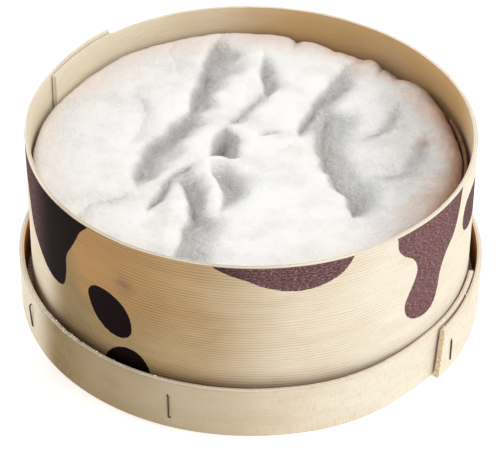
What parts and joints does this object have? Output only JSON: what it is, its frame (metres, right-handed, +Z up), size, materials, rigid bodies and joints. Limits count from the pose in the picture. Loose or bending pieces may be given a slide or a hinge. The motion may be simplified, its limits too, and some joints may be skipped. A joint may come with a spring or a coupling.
{
  "type": "soft cheese in its box",
  "caption": "Round soft cheese with a white folded rind and a bark strap, in a printed spruce box set in its upturned lid.",
  "frame": {"origin": "on the floor under the middle of the box", "axes": "+Z up along the box's axis, -Y towards the front of the picture"},
  "size_m": [0.1585, 0.1584, 0.0667],
  "materials": {
    "rind": "dry bloomy white rind",
    "bark": "rough inner bark",
    "wall_veneer": "sawn spruce veneer, dark print",
    "band_veneer": "sawn spruce veneer",
    "board": "sawn spruce board",
    "staple_steel": "dull dark wire"
  },
  "bodies": {
    "root": {"cheese": "rind", "bark_strap": "bark", "box_wall": "wall_veneer", "box_base": "board", "lid_band": "band_veneer", "lid_disc": "board", "staple_left": "staple_steel", "staple_front": "staple_steel", "staple_lap": "staple_steel", "staple_right": "staple_steel", "staple_back": "staple_steel", "staple_back_left": "staple_steel", "staple_wall_low": "staple_steel", "staple_wall_high": "staple_steel"}
  },
  "joints": []
}
